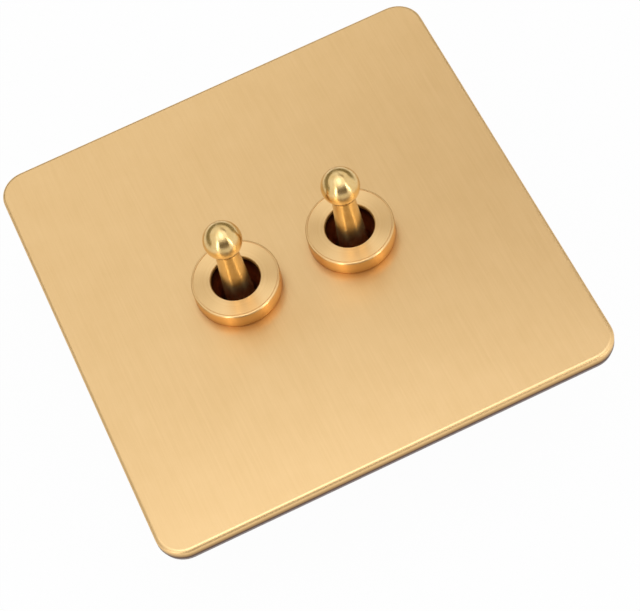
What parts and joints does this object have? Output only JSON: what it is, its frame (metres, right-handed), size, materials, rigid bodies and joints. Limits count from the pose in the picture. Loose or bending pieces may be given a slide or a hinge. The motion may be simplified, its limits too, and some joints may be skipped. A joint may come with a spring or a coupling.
{
  "type": "dolly switch",
  "caption": "Square brushed brass wall plate with ball-ended brass dollies standing in turned collars, each tipping up or down to work a change-over contact behind.",
  "frame": {"origin": "centre of the plate on the wall plane, at the back of the thin black frame", "axes": "+X along the line of the dollies, +Y up the wall, +Z out of the wall"},
  "size_m": [0.086, 0.086, 0.0483],
  "materials": {
    "brushed_brass": "satin, brushed up the plate",
    "turned_brass": "satin, fine turning lines",
    "polished_brass": "polished",
    "plain_brass": "plain turned",
    "blackened_brass": "turned, then chemically blackened",
    "contact_brass": "plain rolled strip",
    "contact_silver": "satin",
    "zinc_steel": "bright zinc plate",
    "bright_steel": "ground",
    "spring_steel": "drawn wire",
    "frame_black": "matt moulded",
    "moulding": "moulded phenolic",
    "nylon": "plain moulded"
  },
  "bodies": {
    "base": {"fascia_plate": "brushed_brass", "backing_frame": "frame_black", "mounting_yoke": "zinc_steel", "earth_screw": "plain_brass", "earth_washer": "plain_brass", "collar_nut_left": "turned_brass", "bush_left": "blackened_brass", "lock_washer_left": "zinc_steel", "back_nut_left": "zinc_steel", "pivot_pin_left": "bright_steel", "fixed_contacts_left": "contact_silver", "terminal_common_left": "contact_brass", "terminal_upper_left": "contact_brass", "terminal_lower_left": "contact_brass", "terminal_screws_left": "zinc_steel", "terminal_washers_left": "zinc_steel", "switch_cover_left": "zinc_steel", "switch_housing_left": "moulding", "collar_nut_right": "turned_brass", "bush_right": "blackened_brass", "lock_washer_right": "zinc_steel", "back_nut_right": "zinc_steel", "pivot_pin_right": "bright_steel", "fixed_contacts_right": "contact_silver", "terminal_common_right": "contact_brass", "terminal_upper_right": "contact_brass", "terminal_lower_right": "contact_brass", "terminal_screws_right": "zinc_steel", "terminal_washers_right": "zinc_steel", "switch_cover_right": "zinc_steel", "switch_housing_right": "moulding"},
    "dolly_left": {"dolly_left": "polished_brass", "plunger_spring_left": "spring_steel"},
    "plunger_left": {"plunger_left": "nylon"},
    "rocker_left": {"contact_rocker_left": "contact_brass", "moving_contacts_left": "contact_silver"},
    "dolly_right": {"dolly_right": "polished_brass", "plunger_spring_right": "spring_steel"},
    "plunger_right": {"plunger_right": "nylon"},
    "rocker_right": {"contact_rocker_right": "contact_brass", "moving_contacts_right": "contact_silver"}
  },
  "joints": [
    {"name": "dolly_left", "type": "hinge", "parent": "base", "child": "dolly_left", "pos_m": [-0.0112, 0, -0.002], "axis": [1, 0, 0], "range_deg": [-12, 12]},
    {"name": "plunger_left", "type": "slide", "parent": "dolly_left", "child": "plunger_left", "axis": [0, 0, 1], "range_m": [0, 0.0006], "stiffness_N_per_m": 500, "springref_m": -0.001, "deforming": ["plunger_spring_left"]},
    {"name": "rocker_left", "type": "hinge", "parent": "base", "child": "rocker_left", "pos_m": [-0.0112, 0, -0.01275], "axis": [1, 0, 0], "range_deg": [-8, 8]},
    {"name": "dolly_right", "type": "hinge", "parent": "base", "child": "dolly_right", "pos_m": [0.0112, 0, -0.002], "axis": [1, 0, 0], "range_deg": [-12, 12]},
    {"name": "plunger_right", "type": "slide", "parent": "dolly_right", "child": "plunger_right", "axis": [0, 0, 1], "range_m": [0, 0.0006], "stiffness_N_per_m": 500, "springref_m": -0.001, "deforming": ["plunger_spring_right"]},
    {"name": "rocker_right", "type": "hinge", "parent": "base", "child": "rocker_right", "pos_m": [0.0112, 0, -0.01275], "axis": [1, 0, 0], "range_deg": [-8, 8]}
  ],
  "couplings": [
    {"joint": "rocker_left", "follows": "dolly_left", "ratio": -0.66667},
    {"joint": "rocker_right", "follows": "dolly_right", "ratio": -0.66667}
  ]
}
